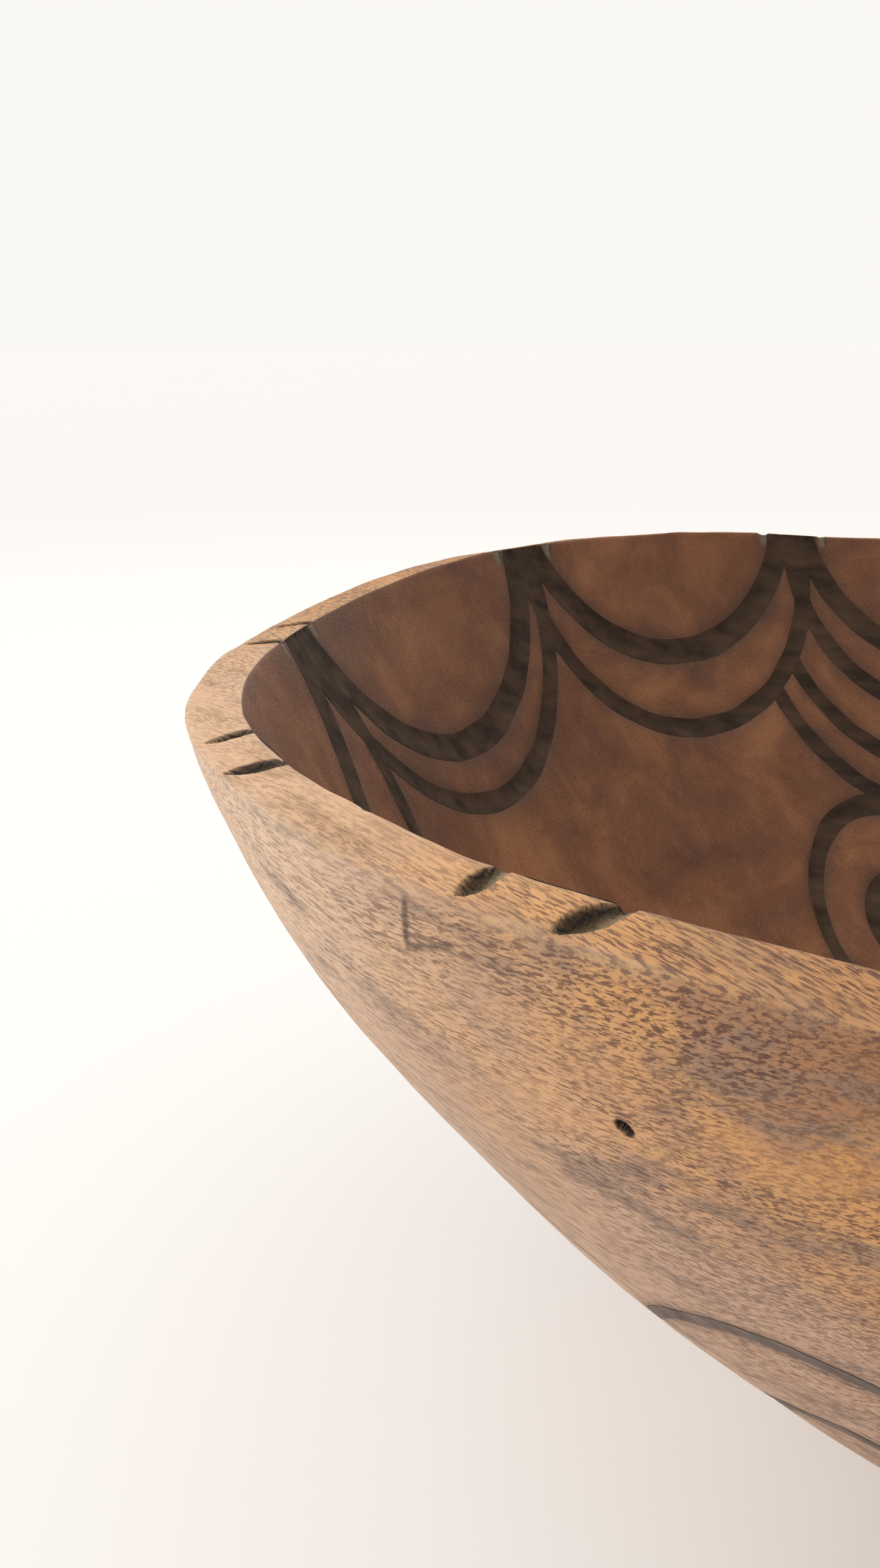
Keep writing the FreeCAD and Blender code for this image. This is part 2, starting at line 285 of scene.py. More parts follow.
def layCuts():
    chance = np.random.default_rng(41)
    laid = []
    for mark in festoons["marks"]:
        for side, kind in ((-1, "A"), (1, "B")):
            at = mark + side * cuts["gap"] / 2 + chance.uniform(-0.35, 0.35)
            laid.append([at, kind, chance.uniform(0.85, 1.1), chance.uniform(0.8, 1.0)])
    laid[14][:] = [219.4, "A", 1.0, 1.0]
    laid[15][:] = [224.4, "B", 1.05, 1.0]
    laid[12][:] = [195.3, "A", 1.0, 0.85]
    laid[13][:] = [201.5, "B", 1.0, 0.85]
    return laid


rimCuts = layCuts()


def cutDepth(azimuth, radius):
    # depth of the gouge cuts below the rim, and how far the point is onto a cut's steep side and its floor,
    # which carry painted shade
    depth, steep, flat = np.zeros(azimuth.shape), np.zeros(azimuth.shape), np.zeros(azimuth.shape)
    across = (radius - lipRadius) / body["rimWidth"]
    for at, kind, size, deep in rimCuts:
        side = np.radians(apart(azimuth, at)) * radius / size
        close = (np.abs(side) < 5) & (across > -1.2) & (across < 1.3)
        a, v = across[close], side[close]
        tip = cuts["steepAt"][kind][-1]
        low = np.interp(a, cuts["steepAt"][kind], cuts["steep"][kind])
        high = np.interp(a, cuts["gentleAt"][kind], cuts["gentle"][kind])
        wide = np.maximum(high - low, 0.02)
        q = (v - low) / wide
        # deepest a third of the way out, half as deep at the lip, and nothing at the tip
        bulge = (np.maximum(a, -0.15) - 0.3) / (tip - 0.28)
        reach = cuts["depth"] * deep * np.sqrt(np.clip(1 - bulge ** 2, 0, 1))
        reach *= 0.5 + 0.5 * smooth(-0.05, 0.3, a)
        shape = smooth(0, 0.25, q) * np.clip(1 - q, 0, 1) ** 0.6
        shape[(q <= 0) | (q >= 1)] = 0
        depth[close] = np.maximum(depth[close], reach * shape)
        # masks of painted shade: near-black on the steep side, lighter on the floor
        shown = (high > low + 0.1) & (a < tip)
        steep[close] = np.maximum(steep[close], shown * np.exp(-((q - 0.1) / 0.1) ** 2))
        flat[close] = np.maximum(flat[close], shown * smooth(0.02, 0.12, q) * smooth(1.05, 0.7, q))
    return depth, steep, flat


# slow waves of the rim's height, as turns round the rim and their sizes
rimWave = {"turns": (2, 3, 4, 5), "cos": (-0.30, 0.90, -1.09, -0.34), "sin": (-0.26, 0.63, -0.09, -0.99)}
# the carver's uneven strokes: size, then shortest and longest wave
strokes = {"broad": (0.30, 22, 60), "fine": (0.07, 7, 14), "room": 0.38}
grooves = {"inside": 0.32, "outside": 0.22, "spread": 1.15}
swelling = {"azimuth": 190, "spread": 16, "out": 0.4}
worm = {"azimuth": 224.5, "height": 98.3, "radius": 0.78, "depth": 2.4}
# a drying check below the rim, drawn only as a line of painted shade: the corners of its two strokes, from
# an angle and at a radius
check = {"turns": (216.9, 216.0, 218.7), "heights": (114.6, 109.3, 111.4), "width": 0.3,
         "middle": 216.7, "radius": 150}
# knocks and pits: angle, shift, size, depth, place
dents = [(209.9, 0.0, 1.1, 0.5, "edge"), (210.1, 0.4, 0.6, 0.35, "lip"), (209.5, 0.8, 0.5, 0.3, "lip"),
         (203.5, 0.6, 0.8, 0.25, "edge"), (231.0, -0.5, 1.2, 0.3, "edge"), (236.5, 0.3, 0.8, 0.25, "lip")]


def woodSurface(azimuth, at):
    # Point of the carved surface at an angle and a station: the turned profile moved along its own
    # outward direction by the carver's uneven strokes, less the grooves, holes and dents.
    azimuth, at = np.broadcast_arrays(np.asarray(azimuth, float), np.asarray(at, float))
    radius, height = (np.interp(at, station, profile[:, k]) for k in (0, 1))
    along = np.stack([np.interp(at, station, slope[:, k]) for k in (0, 1)], -1)
    outR, outZ = along[..., 1], -along[..., 0]
    turn = np.radians(azimuth)
    flat = np.stack([radius * np.cos(turn), radius * np.sin(turn), height], -1)
    inner = smooth(atLip - 1, atLip + 2, at)
    steady = smooth(3, 25, radius)
    broad, fine = strokes["broad"], strokes["fine"]
    push = (broad[0] * waves(flat, 3, *broad[1:]) + fine[0] * waves(flat, 4, *fine[1:])) * steady
    full = smooth(8, 30, height) * (1 - smooth(lipHeight - 8, lipHeight - 1, height)) * (inner < 0.5)
    push += (body["full"] + strokes["room"]) * full - strokes["room"] * steady
    for side, where in ((inner > 0.5, "inside"), (inner <= 0.5, "outside")):
        push[side] -= grooves[where] * lineMarks(azimuth[side], radius[side], height[side], where,
                                                 grooves["spread"])
    gap = np.hypot(np.radians(apart(azimuth, worm["azimuth"])) * radius, height - worm["height"])
    push -= worm["depth"] * smooth(worm["radius"] + 0.12, worm["radius"] - 0.25, gap) * (inner < 0.5)
    for dentAngle, shift, size, deep, place in dents:
        spot = (atEdge if place == "edge" else atLip) + shift
        gap = np.hypot(np.radians(apart(azimuth, dentAngle)) * radius, at - spot) / size
        push -= deep * np.exp(-gap ** 2)
    swell = swelling["out"] * np.exp(-(apart(azimuth, swelling["azimuth"]) / swelling["spread"]) ** 2)
    swell *= smooth(60, 95, height) * (1 - inner) * smooth(lipHeight, lipHeight - 8, height)
    radius, height = radius + push * outR + swell, height + push * outZ
    lift = np.zeros(azimuth.shape)
    for k, c, s in zip(rimWave["turns"], rimWave["cos"], rimWave["sin"]):
        lift += c * np.cos(k * turn) + s * np.sin(k * turn)
    lift = np.minimum(lift, body["sag"]) - body["sag"]
    share = np.clip(1 - (lipHeight - height) / (86 - 46 * inner), 0, 1) ** (1 + inner)
    height = height - body["sag"] * smooth(12, 60, height) + (lift + body["sag"]) * share
    depth = cutDepth(azimuth, radius)[0]
    fall = body["rimDrop"] * np.clip((radius - lipRadius) / body["rimWidth"], 0, 1)
    top = lipHeight + lift - 0.4 - fall
    level = np.where(depth > 0.01, top - depth, 1e3)
    sunk = height > level
    lowered = np.minimum(height, level)
    wall = np.interp(innerStation(lowered - lift), station, profile[:, 0])
    radius = np.where(sunk & (inner > 0.02), np.maximum(radius, wall), radius)
    height = np.clip(lowered, 0.0, lipHeight - 0.02)
    return np.stack([radius * np.cos(turn), radius * np.sin(turn), height], -1)


def surfaceNormal(azimuth, at, step):
    # outward direction from differences of the surface over a small step each way
    azimuth, at = np.broadcast_arrays(np.asarray(azimuth, float), np.asarray(at, float))
    radius = np.maximum(np.interp(at, station, profile[:, 0]), 1.0)
    turn = np.degrees(step / radius)
    low, high = np.maximum(at - step, 0.02), np.minimum(at + step, endStation - 0.02)
    around = woodSurface(azimuth + turn, at) - woodSurface(azimuth - turn, at)
    along = woodSurface(azimuth, high) - woodSurface(azimuth, low)
    normal = np.cross(around, along)
    size = np.linalg.norm(normal, axis=-1, keepdims=True)
    return normal / np.maximum(size, 1e-9)


def putMesh(name, grids, attributes):
    # One object from closed grids. A grid is (points, normals, ends): columns always close up, and
    # the ends are "poles" for a point at each end, "loop" for a ring and "caps" for a closed strip.
    points, normals, quads, fans = [], [], [], []
    first = 0
    for grid, normal, ends in grids:
        rows, columns = grid.shape[:2]
        number = first + np.arange(rows * columns).reshape(rows, columns)
        points.append(grid.reshape(-1, 3))
        normals.append(normal.reshape(-1, 3))
        below, above = (number, np.roll(number, -1, 0)) if ends == "loop" else (number[:-1], number[1:])
        beside, beyond = np.roll(below, -1, 1), np.roll(above, -1, 1)
        faces = np.stack([below, beside, beyond, above], -1).reshape(-1, 4)
        spots = grid.reshape(-1, 3)[faces - first]
        faceWays = np.cross(spots[:, 2] - spots[:, 0], spots[:, 3] - spots[:, 1])
        # faces must point outwards
        turned = (faceWays * normal.reshape(-1, 3)[faces[:, 0] - first]).sum() < 0
        quads.append(faces[:, ::-1] if turned else faces)
        first += rows * columns
        if ends != "loop":
            for row, way in ((0, -1), (-1, 1)):
                points.append(grid[row].mean(0)[None])
                tip = normal[row].mean(0)
                normals.append((tip / max(np.linalg.norm(tip), 1e-9))[None])
                pair = np.stack([number[row], np.roll(number[row], -1)], -1)
                pair = pair[:, ::-1] if (way == -1) != turned else pair
                fans.append(np.concatenate([pair, np.full((columns, 1), first)], 1))
                first += 1
    points, normals, quads = np.concatenate(points) / 1000, np.concatenate(normals), np.concatenate(quads)
    fans = np.concatenate(fans) if fans else np.zeros((0, 3), int)
    mesh = bpy.data.meshes.new(name)
    mesh.vertices.add(len(points))
    mesh.vertices.foreach_set("co", points.astype(np.float32).ravel())
    corners = np.concatenate([quads.ravel(), fans.ravel()])
    mesh.loops.add(len(corners))
    mesh.loops.foreach_set("vertex_index", corners.astype(np.int32))
    mesh.polygons.add(len(quads) + len(fans))
    starts = np.concatenate([np.arange(len(quads)) * 4, len(quads) * 4 + np.arange(len(fans)) * 3])
    mesh.polygons.foreach_set("loop_start", starts.astype(np.int32))
    mesh.update(calc_edges=True)
    mesh.polygons.foreach_set("use_smooth", np.ones(len(quads) + len(fans), bool))
    for key, value in attributes.items():
        value = np.append(value, np.zeros(len(points) - len(value)))
        mesh.attributes.new(key, "FLOAT", "POINT").data.foreach_set("value", value.astype(np.float32))
    mesh.normals_split_custom_set_from_vertices(normals.astype(np.float32))
    made = bpy.data.objects.new(name, mesh)
    bpy.context.scene.collection.objects.link(made)
    return made


def columnAngles(near, far, cut):
    # angles round the bowl, closest at the cuts, the worm hole and the near side
    angle = np.arange(0, 360, 0.02)
    gap = np.full(angle.shape, far)
    gap = np.where(np.abs(apart(angle, 220)) < 34, near, gap)
    for at, *_ in rimCuts:
        gap = np.where(np.abs(apart(angle, at)) < 1.35, np.minimum(gap, cut), gap)
    gap = np.where(np.abs(apart(angle, worm["azimuth"])) < 0.7, np.minimum(gap, 0.22), gap)
    count = np.concatenate([[0], np.cumsum(0.02 * math.radians(rimRadius) / gap)])
    total = int(count[-1])
    return np.interp(np.arange(total) * count[-1] / total, count, np.append(angle, 360))


def rowStations(spans):
    # stations with a chosen gap in each span: (end of the span, gap)
    made, start = [], spans[0][0]
    for end, gap in spans[1:]:
        made.append(np.linspace(start, end, max(2, int(round((end - start) / gap)) + 1))[:-1])
        start = end
    return np.append(np.concatenate(made), start)


def checkMark(azimuth, height):
    # 1 on the two strokes of the drying check, by distance to each stroke; it masks the check's painted
    # shade
    u, v = np.radians(apart(azimuth, check["middle"])) * check["radius"], height
    cornerU = [np.radians(apart(turn, check["middle"])) * check["radius"] for turn in check["turns"]]
    corners = list(zip(cornerU, check["heights"]))
    best = np.zeros(azimuth.shape)
    for (fromU, fromV), (toU, toV) in zip(corners, corners[1:]):
        t = np.clip(((u - fromU) * (toU - fromU) + (v - fromV) * (toV - fromV))
                    / ((toU - fromU) ** 2 + (toV - fromV) ** 2), 0, 1)
        away = np.hypot(u - fromU - t * (toU - fromU), v - fromV - t * (toV - fromV))
        best = np.maximum(best, smooth(check["width"] * 2, check["width"] * 0.6, away))
    return best


# where the outside is painted paler: middle, spread and share, and how uneven it is; round 190 degrees, the
# side lit from the left, the paler colour is painted light
paleLitPlaces = {"places": ((190, 33, 1.0), (70, 30, 0.8)), "uneven": 0.15}


def woodMarks(azimuth, at):
    # per point values that the material reads: stain, painted shade with some scorch beside the lines and
    # painted shade on the drying check, wear, painted shade on the two sides of the cuts and in the holes
    radius, height = (np.interp(at, station, profile[:, k]) for k in (0, 1))
    stain = smooth(atLip - 0.35, atLip + 0.5, at)
    # painted shade beside the grooves of the lines, partly scorch
    lineShadeAndScorch = np.where(stain > 0.5, lineMarks(azimuth, radius, height, "inside", 1.6),
                    lineMarks(azimuth, radius, height, "outside", 1.7))
    # the drying check as painted shade
    lineShadeAndScorch = np.maximum(lineShadeAndScorch, checkMark(azimuth, height) * (stain < 0.5))
    wear = np.maximum(np.exp(-((at - atEdge) / 1.3) ** 2), np.exp(-((at - atLip) / 0.7) ** 2))
    _, steep, flat = cutDepth(azimuth, radius)
    above = smooth(lipHeight - 3.2, lipHeight - 2.0, height)
    gap = np.hypot(np.radians(apart(azimuth, worm["azimuth"])) * radius, height - worm["height"])
    # mask of the painted shade in the worm hole's mouth
    hole = smooth(worm["radius"] + 0.32, worm["radius"] + 0.05, gap) * (stain < 0.5)
    turn = np.radians(azimuth)
    spot = np.stack([radius * np.cos(turn), radius * np.sin(turn), height], -1)
    pale = paleLitPlaces["uneven"] * waves(spot, 8, 50, 110)
    # painted light on the lit left side round 190 degrees, and a paler place round 70 degrees
    for middle, spread, share in paleLitPlaces["places"]:
        pale += share * np.exp(-(apart(azimuth, middle) / spread) ** 2)
    return {"pale": pale, "stain": stain, "lineShadeAndScorch": lineShadeAndScorch, "wear": wear, "steepCutShade": steep * above,
            "flatCutShade": flat * above, "hole": hole, "rimFace": smooth(atEdge - 1.2, atEdge + 0.2, at)}


def hiddenPath(rows):
    # points a little inside the wood under the given stations
    along = np.stack([np.interp(rows, station, slope[:, k]) for k in (0, 1)], -1)
    spot = np.stack([np.interp(rows, station, profile[:, k]) for k in (0, 1)], -1)
    return spot + body["hidden"] * np.stack([-along[:, 1], along[:, 0]], -1)


outerJoin, innerJoin = atEdge - body["ringDepth"], atLip + body["ringDepth"]
print("surface functions ready")


def woodPiece(name, gaps, spans, hidden, step, ends, skinFaces):
    # One closed piece: the shown grid, and a skin hidden in the wall under the given stations. The
    # skin comes after the grid, or on the inner piece before it and the other way round.
    angles, rows = columnAngles(*gaps), rowStations(spans)
    azimuth, at = np.meshgrid(angles, rows)
    grid, normal = woodSurface(azimuth, at), surfaceNormal(azimuth, at, step)
    turn, path = np.radians(azimuth[:1]), hiddenPath(np.array(hidden))
    skin = np.stack([path[:, :1] * np.cos(turn), path[:, :1] * np.sin(turn),
                     np.broadcast_to(path[:, 1:], (len(path), len(angles)))], -1)
    parts = [(grid, normal), (skin, np.broadcast_to([0, 0, skinFaces], skin.shape))]
    if name == "innerWood":
        parts = [(skin[::-1], parts[1][1]), parts[0]]
    blank = np.zeros(skin.shape[0] * skin.shape[1])
    marks = {key: np.concatenate([blank, v.ravel()] if name == "innerWood" else [v.ravel(), blank])
             for key, v in woodMarks(azimuth, at).items()}
    made = putMesh(name, [(*(np.concatenate(both) for both in zip(*parts)), ends)], marks)
    print(name, len(made.data.vertices), "points",
          sum(len(p.vertices) - 2 for p in made.data.polygons), "triangles")
    return made


def makeWood():
    # the rim has a ring of its own with fine columns; the outside is foot, wall and band; the
    # inside is the wall and floor of the hollow
    wormAt = float(outerStation(worm["height"]))
    rim = woodPiece("rimWood", (0.36, 2.0, 0.34), [
        (outerJoin, 0), (atEdge - 4, 0.65), (atEdge - 1.5, 0.38), (atEdge + 1.2, 0.26), (atLip - 1.0, 0.36),
        (atLip + 1.2, 0.24), (atLip + 4.5, 0.42), (innerJoin, 0.95)],
        [innerJoin, outerJoin], 0.16, "loop", -1.0)
    outer = woodPiece("outerWood", (0.80, 2.0, 0.95), [
        (0.5, 0), (48, 7), (58, 0.8), (90, 2.1), (wormAt - 22, 1.45), (wormAt - 1.6, 1.0),
        (wormAt + 1.6, 0.2), (outerJoin, 0.85)],
        [outerJoin, outerJoin - 20, 130, 100, 70, 56, 40, 20], 0.35, "poles", 1.0)
    inner = woodPiece("innerWood", (1.38, 1.3, 1.3), [
        (innerJoin, 0), (innerJoin + 60, 1.15), (innerJoin + 125, 1.3), (endStation - 20, 2.2),
        (endStation - 0.5, 5)],
        [innerJoin, innerJoin + 25, innerJoin + 60, innerJoin + 90, endStation - 60, endStation - 20],
        0.4, "poles", -1.0)
    return [rim, outer, inner]


woodPieces = makeWood()
print("wood made")


# the dark lines as thin strips in their grooves
strip = {"along": 0.7, "across": (-1.0, -0.86, -0.6, -0.2, 0.2, 0.6, 0.86, 1.0), "deep": 0.7}


def stripGrid(path, half, seed, toSurface, lift, closed=False):
    # A strip along a line: at each point across the line it lies a hair above the groove, and its
    # two sides go down into the wood. toSurface turns (place along, place across) into angle and station.
    chance = np.random.default_rng(seed)
    t = np.linspace(0, 1, len(path))
    uneven = [sum(a * np.sin(2 * np.pi * (k * t + p)) for k, a, p in zip(
        chance.integers(3, max(6, len(path) // 12), 9), chance.uniform(0.2, 1, 9),
        chance.uniform(0, 1, 9))) / 3
        for _ in range(2)]
    u = np.array(strip["across"])[None, :]
    offset = half * u * (1.04 + 0.06 * uneven[0][:, None]) + 0.09 * uneven[1][:, None]
    azimuth, at = toSurface(path[:, None] + 0 * offset, offset)
    top, normal = woodSurface(azimuth, at), surfaceNormal(azimuth, at, 0.4)
    rise = lift * (1.15 - 0.5 * smooth(0.6, 1.0, np.abs(u)))
    top = top + normal * rise[..., None]
    under = top[:, ::-1][:, [1, -2]] - normal[:, ::-1][:, [1, -2]] * strip["deep"]
    grid = np.concatenate([top, under], 1)
    return grid, np.concatenate([normal, -normal[:, ::-1][:, [1, -2]]], 1), "loop" if closed else "caps"


def upright(line, outer):
    # strip places for a round line on the wall: angle on the circle and offset from its radius
    middle, centre, bow, half, hang = line

    def toSurface(phi, offset):
        across, height = (bow + offset) * np.sin(phi), centre - hang * (bow + offset) * np.cos(phi)
        if outer:
            height = np.clip(height, archLow, lipHeight)
            at = outerStation(height)
        else:
            height = np.clip(height, body["floorThick"] + 0.1, lipHeight - 0.15)
            at = innerStation(height)
        radius = np.interp(at, station, profile[:, 0])
        return middle + np.degrees(np.arcsin(np.clip(across / radius, -0.999, 0.999))), at
    return toSurface


def linePath(line, outer, seed, lift):
    middle, centre, bow, half, hang = line
    top = archLow if outer else lipHeight - 0.2
    limit = math.acos(np.clip(hang * (centre - top) / bow, -1, 1))
    phi = np.linspace(-limit, limit, int(2 * limit * bow / strip["along"]))
    toSurface = upright(line, outer)
    if line in lineGroups["lower"]:
        azimuth, at = toSurface(phi, 0 * phi)
        shown = underEdge(azimuth, np.interp(at, station, profile[:, 0]),
                          np.interp(at, station, profile[:, 1])) > -0.9
        middleRun = len(phi) // 2
        low = middleRun - np.argmin(shown[:middleRun][::-1])
        high = middleRun + np.argmin(shown[middleRun:])
        phi = phi[low:high]
    return stripGrid(phi, half, seed, toSurface, lift)


def ringPath(ring, seed, lift):
    cx, cy, radius, half = ring
    phi = np.linspace(0, 2 * np.pi, int(2 * np.pi * radius / strip["along"]), endpoint=False)

    def toSurface(angle, offset):
        x, y = cx + (radius + offset) * np.cos(angle), cy + (radius + offset) * np.sin(angle)
        return np.degrees(np.arctan2(y, x)), floorStation(np.hypot(x, y))
    return stripGrid(phi, half, seed, toSurface, lift, closed=True)


def makeLines():
    plan = (
        ("festoonUpperLines", "festoon_upper_lines", lineGroups["upper"], False, 0.10, "burnt_line"),
        ("festoonUnderLines", "festoon_under_lines", lineGroups["under"], False, 0.08, "burnt_line"),
        ("lowerFestoonLines", "lower_festoon_lines", lineGroups["lower"], False, 0.09, "burnt_line"),
        ("floorRingLines", "floor_ring_lines", rings, False, 0.08, "burnt_line"),
        ("outerArchLines", "outer_arch_lines", lineGroups["archOuter"], True, 0.10, "faded_line"),
        ("innerArchLines", "inner_arch_lines", lineGroups["archInner"], True, 0.10, "faded_line"),
    )
    made = []
    for order, (name, node, lines, outer, lift, slotName) in enumerate(plan):
        grids = [ringPath(line, 900 + order * 50 + k, lift) if lines is rings
                 else linePath(line, outer, order * 50 + k, lift) for k, line in enumerate(lines)]
        piece = putMesh(name, grids, {})
        made.append((piece, node, slotName))
        print(name, len(grids), "strips")
    return made


linePieces = makeLines()
print("lines made")


def addNode(tree, kind, inputs=None, stops=None, **settings):
    # a node with its settings, its linked or plain inputs and the stops of its colour ramp
    made = tree.nodes.new("ShaderNode" + kind)
    for key, value in settings.items():
        setattr(made, key, value)
    if stops:
        while len(made.color_ramp.elements) < len(stops):
            made.color_ramp.elements.new(0.5)
        for element, (place, colour) in zip(made.color_ramp.elements, stops):
            element.position, element.color = place, colour
    for key, value in (inputs or {}).items():
        if isinstance(value, bpy.types.NodeSocket):
            tree.links.new(value, made.inputs[key])
        else:
            made.inputs[key].default_value = value
    return made


def startMaterial(name):
    made = bpy.data.materials.new(name)
    made.use_nodes = True
    made.node_tree.nodes.clear()
    shader = addNode(made.node_tree, "BsdfPrincipled")
    addNode(made.node_tree, "OutputMaterial", {"Surface": shader.outputs[0]})
    return made, made.node_tree, shader


def fade(tree, source, low, high):
    # 0 below low, 1 above high
    return addNode(tree, "MapRange", {"Value": source, "From Min": low, "From Max": high},
                   interpolation_type="SMOOTHSTEP").outputs[0]


def blend(tree, factor, below, above):
    return addNode(tree, "Mix", {0: factor, 6: below, 7: above}, data_type="RGBA").outputs[2]


def times(tree, first, second):
    return addNode(tree, "Math", {0: first, 1: second}, operation="MULTIPLY").outputs[0]


def makeWoodMaterial():
    # carved hardwood, dry outside and stained and rubbed inside: the eye reads flecked fibres, a warm uneven
    # tan, a brown satin hollow and gouge cuts; painted shade darkens the cuts, the worm hole, the drying
    # check and the wood beside the lines, and painted light makes the outside paler on its left
    made, tree, shader = startMaterial("carvedHardwoodDryAndStained")
    place = addNode(tree, "TexCoord").outputs["Object"]
    # The fibres run level at 300 degrees: x is along them after this turn. Scales are per metre, so
    # a fleck is about a third of a millimetre wide and six times as long, and a hair 25 times as long.
    turned = addNode(tree, "Mapping", {"Vector": place, "Rotation": (0, 0, math.radians(60))}).outputs[0]
    stretched = {}
    for name, scale in (("fleck", (0.17, 1.0, 1.0)), ("hair", (0.04, 1.0, 1.0)), ("band", (0.25, 1.0, 0.9))):
        stretched[name] = addNode(tree, "Mapping", {"Vector": turned, "Scale": scale}).outputs[0]
    attribute = {name: addNode(tree, "Attribute", attribute_name=name).outputs["Fac"] for name in (
        "pale", "stain", "lineShadeAndScorch", "wear", "steepCutShade", "flatCutShade", "hole", "rimFace")}

    def noise(vector, scale, detail=3.0, rough=0.55, warp=0.0):
        return addNode(tree, "TexNoise", {"Vector": vector, "Scale": scale, "Detail": detail,
                                          "Roughness": rough, "Distortion": warp}).outputs["Fac"]

    height = addNode(tree, "SeparateXYZ", {0: place}).outputs["Z"]
    broad = noise(place, 20, 3)
    patchy = noise(place, 55, 4, 0.6, 0.6)
    banding = noise(stretched["band"], 190, 5, 0.7)
    fleck = noise(stretched["fleck"], 3000, 2.5, 0.6)
    fleckZone = noise(stretched["band"], 120, 3)
    hair = noise(stretched["hair"], 3300, 2, 0.6)
    hairZone = noise(place, 30, 2)
    grain = noise(place, 2600, 3, 0.6)
    pale = fade(tree, attribute["pale"], 0.0, 1.0)
    ragged = addNode(tree, "Math", {0: height, 1: times(tree, hairZone, 0.05)}, operation="ADD")
    upper = fade(tree, ragged.outputs[0], 0.09, 0.125)
    # dry outside
    tan = addNode(tree, "ValToRGB", {"Fac": broad}, stops=[
        (0.32, linear("#A06E4A")), (0.5, linear("#B5815A")), (0.68, linear("#C49570"))]).outputs[0]
    ochre = blend(tree, times(tree, fade(tree, patchy, 0.40, 0.58), upper), tan, linear("#D29656"))
    dusty = blend(tree, fade(tree, upper, 0.9, 0.0), ochre, linear("#C0967A"))
    # the outside painted paler, round 190 degrees as painted light on the lit left side
    paleLitWood = blend(tree, times(tree, pale, 0.9), dusty, linear("#EBCBB0"))
    smear = blend(tree, times(tree, fade(tree, banding, 0.50, 0.64), 0.60), paleLitWood, linear("#877466"))
    face = blend(tree, times(tree, attribute["rimFace"], 0.45), smear, linear("#CC9458"))
    hairMask = times(tree, fade(tree, hair, 0.48, 0.62), addNode(tree, "MapRange", {
        "Value": upper, "To Min": 1.0, "To Max": 0.6}).outputs[0])
    hairShare = addNode(tree, "MapRange", {"Value": pale, "To Min": 0.72, "To Max": 0.3}).outputs[0]
    hairy = blend(tree, times(tree, hairMask, hairShare), face, linear("#5E4436"))
    fleckMask = times(tree, fade(tree, fleck, 0.49, 0.60), addNode(tree, "MapRange", {
        "Value": fleckZone, "From Min": 0.36, "From Max": 0.56, "To Min": 0.35}).outputs[0])
    fleckHigh = addNode(tree, "MapRange", {"Value": upper, "To Min": 0.4, "To Max": 0.85}).outputs[0]
    fleckPale = addNode(tree, "MapRange", {"Value": pale, "To Min": 1.0, "To Max": 0.5}).outputs[0]
    fleckShare = times(tree, fleckHigh, fleckPale)
    flecked = blend(tree, times(tree, fleckMask, fleckShare), hairy, linear("#55322A"))
    wornColour = blend(tree, pale, linear("#A5927F"), linear("#E0CBB4"))
    worn = blend(tree, times(tree, attribute["wear"], times(tree, fade(tree, patchy, 0.3, 0.6), 0.4)),
                 flecked, wornColour)
    # stained inside
    brown = addNode(tree, "ValToRGB", {"Fac": patchy}, stops=[
        (0.30, linear("#653B22")), (0.5, linear("#7E4C2A")), (0.70, linear("#9C643C"))]).outputs[0]
    brownHair = blend(tree, times(tree, fade(tree, hair, 0.5, 0.75), 0.35), brown, linear("#452617"))
    brownBand = blend(tree, times(tree, fade(tree, banding, 0.5, 0.7), 0.3), brownHair, linear("#9C6A42"))
    stainEdge = addNode(tree, "Math", {0: attribute["stain"], 1: times(tree, patchy, 0.6)}, operation="ADD")
    stained = blend(tree, fade(tree, stainEdge.outputs[0], 0.55, 0.95), worn, brownBand)
    # painted shade, partly scorch, beside the lines, and painted shade on the drying check, then painted
    # shade in the cuts and the hole
    lineShadedWood = blend(tree, times(tree, attribute["lineShadeAndScorch"], 0.7), stained, linear("#3B2D25"))
    # painted shade in the gouge cuts: lighter on their floors, near-black on their steep sides
    cutFloorShade = blend(tree, times(tree, attribute["flatCutShade"], 0.8), lineShadedWood, linear("#7E7259"))
    steepCutShade = blend(tree, attribute["steepCutShade"], cutFloorShade, linear("#17120E"))
    # near-black painted shade in the worm hole
    colour = blend(tree, attribute["hole"], steepCutShade, linear("#0C0806"))
    tree.links.new(colour, shader.inputs["Base Color"])
    satin = addNode(tree, "MapRange", {"Value": attribute["stain"], "To Min": 0.66, "To Max": 0.40})
    rough = addNode(tree, "Math", {0: satin.outputs[0], 1: times(tree, grain, 0.14)}, operation="ADD")
    tree.links.new(rough.outputs[0], shader.inputs["Roughness"])
    shader.inputs["Specular IOR Level"].default_value = 0.4
    fine = addNode(tree, "Bump", {"Height": grain, "Strength": 0.18, "Distance": 0.0002}).outputs[0]
    strokes = addNode(tree, "Bump", {"Height": hair, "Strength": 0.35, "Distance": 0.0002, "Normal": fine})
    pits = addNode(tree, "Bump", {"Height": fleckMask, "Strength": 0.5, "Distance": 0.00015,
                                  "Normal": strokes.outputs[0]}, invert=True)
    tree.links.new(pits.outputs[0], shader.inputs["Normal"])
    return made


